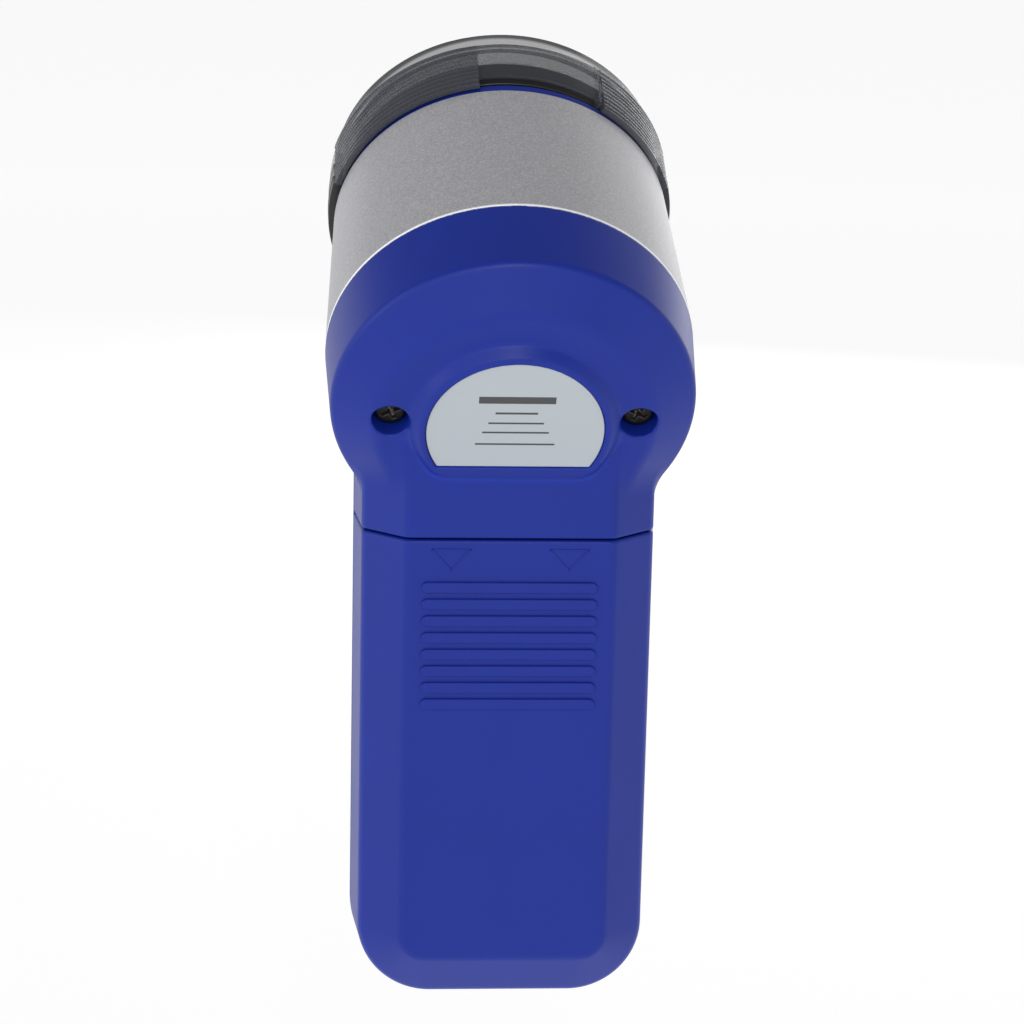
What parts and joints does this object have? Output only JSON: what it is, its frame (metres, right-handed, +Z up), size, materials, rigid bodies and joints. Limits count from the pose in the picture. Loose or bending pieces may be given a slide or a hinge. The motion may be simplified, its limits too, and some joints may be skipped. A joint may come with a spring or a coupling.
{
  "type": "electric shaver",
  "caption": "Pocket rotary shaver: upright handle with a ribbed battery cover, tilted round head with a silver collar and a smoke cap.",
  "frame": {"origin": "centre of the flat bottom end of the handle", "axes": "+Z up along the handle, -Y towards the cap and switch side, +Y towards the battery cover, X across the handle"},
  "size_m": [0.0466, 0.0655, 0.1225],
  "materials": {
    "blue_plastic": "satin moulded, very fine texture",
    "silver_paint": "fine metallic paint",
    "plate_foil": "satin foil label",
    "black_screw": "black oxide",
    "smoke_plastic": "clear smoke-tinted plastic",
    "black_plastic": "semi-gloss",
    "blade_steel": "polished with fine turning marks",
    "white_plastic": "natural acetal",
    "grey_plastic": "moulded",
    "spring_steel": "bright",
    "copper_winding": "enamelled wire",
    "motor_steel": "zinc plated",
    "magnet": "sintered",
    "felt": "felt washer",
    "cell_wrap": "printed sleeve",
    "contact_metal": "nickel plated",
    "brass_strip": "bright",
    "red_wire": "insulated",
    "black_wire": "insulated"
  },
  "bodies": {
    "shaver_body": {"front_case": "blue_plastic", "rear_case": "blue_plastic", "head_collar": "silver_paint", "name_plate": "plate_foil", "case_screws": "black_screw", "motor_can": "motor_steel", "motor_magnets": "magnet", "motor_end_bell": "white_plastic", "motor_deck": "grey_plastic", "motor_screws": "spring_steel", "shaft_seal": "felt", "battery_chassis": "grey_plastic", "cell_left": "cell_wrap", "cell_right": "cell_wrap", "bridge_contact": "contact_metal", "bridge_spring": "contact_metal", "plus_contact": "contact_metal", "minus_contact": "contact_metal", "minus_spring": "contact_metal", "switch_strip": "brass_strip", "red_lead": "red_wire", "black_lead": "black_wire"},
    "rotor": {"motor_shaft": "spring_steel", "motor_armature": "copper_winding", "drive_coupling": "white_plastic", "coupling_spring": "spring_steel", "cutter_hub": "white_plastic", "cutter_blades": "blade_steel"},
    "blade_unit": {"blade_frame": "black_plastic", "outer_blade": "blade_steel", "blade_retainer": "white_plastic"},
    "cap": {"protective_cap": "smoke_plastic"},
    "switch": {"switch_knob": "silver_paint", "switch_slider": "white_plastic"},
    "battery_door": {"battery_cover": "blue_plastic"}
  },
  "joints": [
    {"name": "rotor_spin", "type": "hinge", "parent": "shaver_body", "child": "rotor", "pos_m": [0, 0.0139, 0.07714], "axis": [0, -0.866, 0.5], "continuous": true},
    {"name": "blade_unit_pull", "type": "slide", "parent": "shaver_body", "child": "blade_unit", "axis": [0, -0.866, 0.5], "range_m": [0, 0.02]},
    {"name": "cap_pull", "type": "slide", "parent": "blade_unit", "child": "cap", "axis": [0, -0.866, 0.5], "range_m": [0, 0.03]},
    {"name": "switch_slide", "type": "slide", "parent": "shaver_body", "child": "switch", "axis": [0, 0, 1], "range_m": [0, 0.004]},
    {"name": "battery_door_slide", "type": "slide", "parent": "shaver_body", "child": "battery_door", "axis": [0, 0, -1], "range_m": [0, 0.062]}
  ]
}
